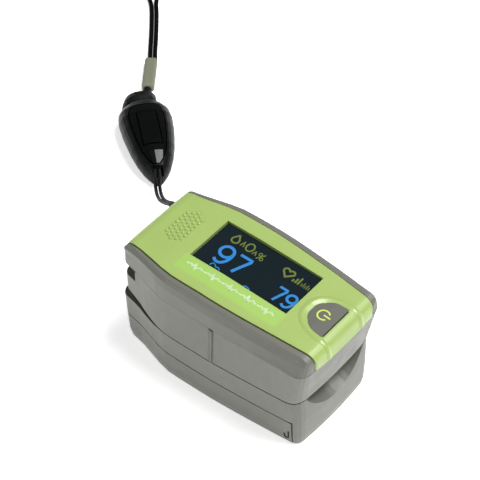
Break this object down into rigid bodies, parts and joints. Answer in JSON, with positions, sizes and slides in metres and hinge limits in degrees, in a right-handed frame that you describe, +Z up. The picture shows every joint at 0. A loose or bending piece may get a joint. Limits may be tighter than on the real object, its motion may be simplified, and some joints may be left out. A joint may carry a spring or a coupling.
{
  "type": "fingertip pulse oximeter",
  "caption": "Clothespin-style fingertip pulse oximeter with a spring hinge, a display window in a green cover, a power button, a battery cover and a neck lanyard with a coiled strap.",
  "frame": {"origin": "centre of the base that the body stands on, without the lanyard", "axes": "+X towards the mouth that the finger enters, -X towards the hinge, +Z up through the display"},
  "size_m": [0.1613, 0.1347, 0.0333],
  "materials": {
    "warm_grey_plastic": "fine matte texture",
    "green_gloss_plastic": "gloss",
    "key_rubber": "soft matte",
    "clear_lens": "clear",
    "display_glass": "gloss",
    "black_foam": "matte",
    "pad_silicone": "soft matte",
    "circuit_board": "solder mask",
    "chip_black": "matte",
    "tinned_contact": "tinned",
    "spring_steel": "polished",
    "ribbon_amber": "film",
    "cell_wrap": "film wrap",
    "buckle_gloss": "gloss",
    "cap_black": "matte",
    "cord_black": "waxed",
    "strap_weave": "woven",
    "sleeve_grey": "matte"
  },
  "bodies": {
    "lower_half": {"lower_housing": "warm_grey_plastic", "lower_finger_pad": "pad_silicone", "sensor_lens": "clear_lens", "photodiode": "chip_black", "sensor_board": "circuit_board", "flex_ribbon": "ribbon_amber", "battery_cell_left": "cell_wrap", "battery_cell_right": "cell_wrap", "contact_bridge": "tinned_contact", "contact_tab_left": "tinned_contact", "contact_tab_right": "tinned_contact", "contact_spring_left": "spring_steel", "contact_spring_right": "spring_steel", "hinge_pin": "spring_steel", "torsion_spring_left": "spring_steel", "torsion_spring_right": "spring_steel", "lanyard_strand_left": "cord_black", "lanyard_strand_right": "cord_black", "buckle_body": "cap_black", "buckle_inlay": "buckle_gloss", "buckle_cap": "cap_black", "strap_sleeve": "sleeve_grey", "strap_run_left": "strap_weave", "strap_run_right": "strap_weave", "strap_coil": "strap_weave", "coil_tie": "cap_black"},
    "battery_cover": {"battery_cover": "warm_grey_plastic"},
    "upper_half": {"lanyard_bight": "cord_black", "upper_base": "warm_grey_plastic", "top_shell": "warm_grey_plastic", "top_cover": "green_gloss_plastic", "display_lens": "clear_lens", "display_module": "display_glass", "display_gasket": "black_foam", "upper_finger_pad": "pad_silicone", "emitter_lens": "clear_lens", "led_emitter": "clear_lens", "emitter_board": "circuit_board", "main_board": "circuit_board", "processor_chip": "chip_black", "ribbon_connector": "chip_black", "tact_switch": "tinned_contact", "case_screw_front_left": "spring_steel", "case_screw_front_right": "spring_steel", "case_screw_rear_left": "spring_steel", "case_screw_rear_right": "spring_steel"},
    "power_button": {"power_button": "key_rubber"},
    "buckle_button": {"buckle_button": "buckle_gloss"}
  },
  "joints": [
    {"name": "clamp_hinge", "type": "hinge", "parent": "lower_half", "child": "upper_half", "pos_m": [-0.0133, 0, 0.017], "axis": [0, -1, 0], "range_deg": [0, 12], "stiffness_Nm_per_rad": 0.5, "springref_deg": -8.59},
    {"name": "power_button_press", "type": "slide", "parent": "upper_half", "child": "power_button", "axis": [0, 0, -1], "range_m": [0, 0.0005], "stiffness_N_per_m": 1500},
    {"name": "battery_cover_slide", "type": "slide", "parent": "lower_half", "child": "battery_cover", "axis": [-1, 0, 0], "range_m": [0, 0.006]},
    {"name": "buckle_button_press", "type": "slide", "parent": "lower_half", "child": "buckle_button", "axis": [0, 0, -1], "range_m": [0, 0.0005], "stiffness_N_per_m": 1500}
  ]
}
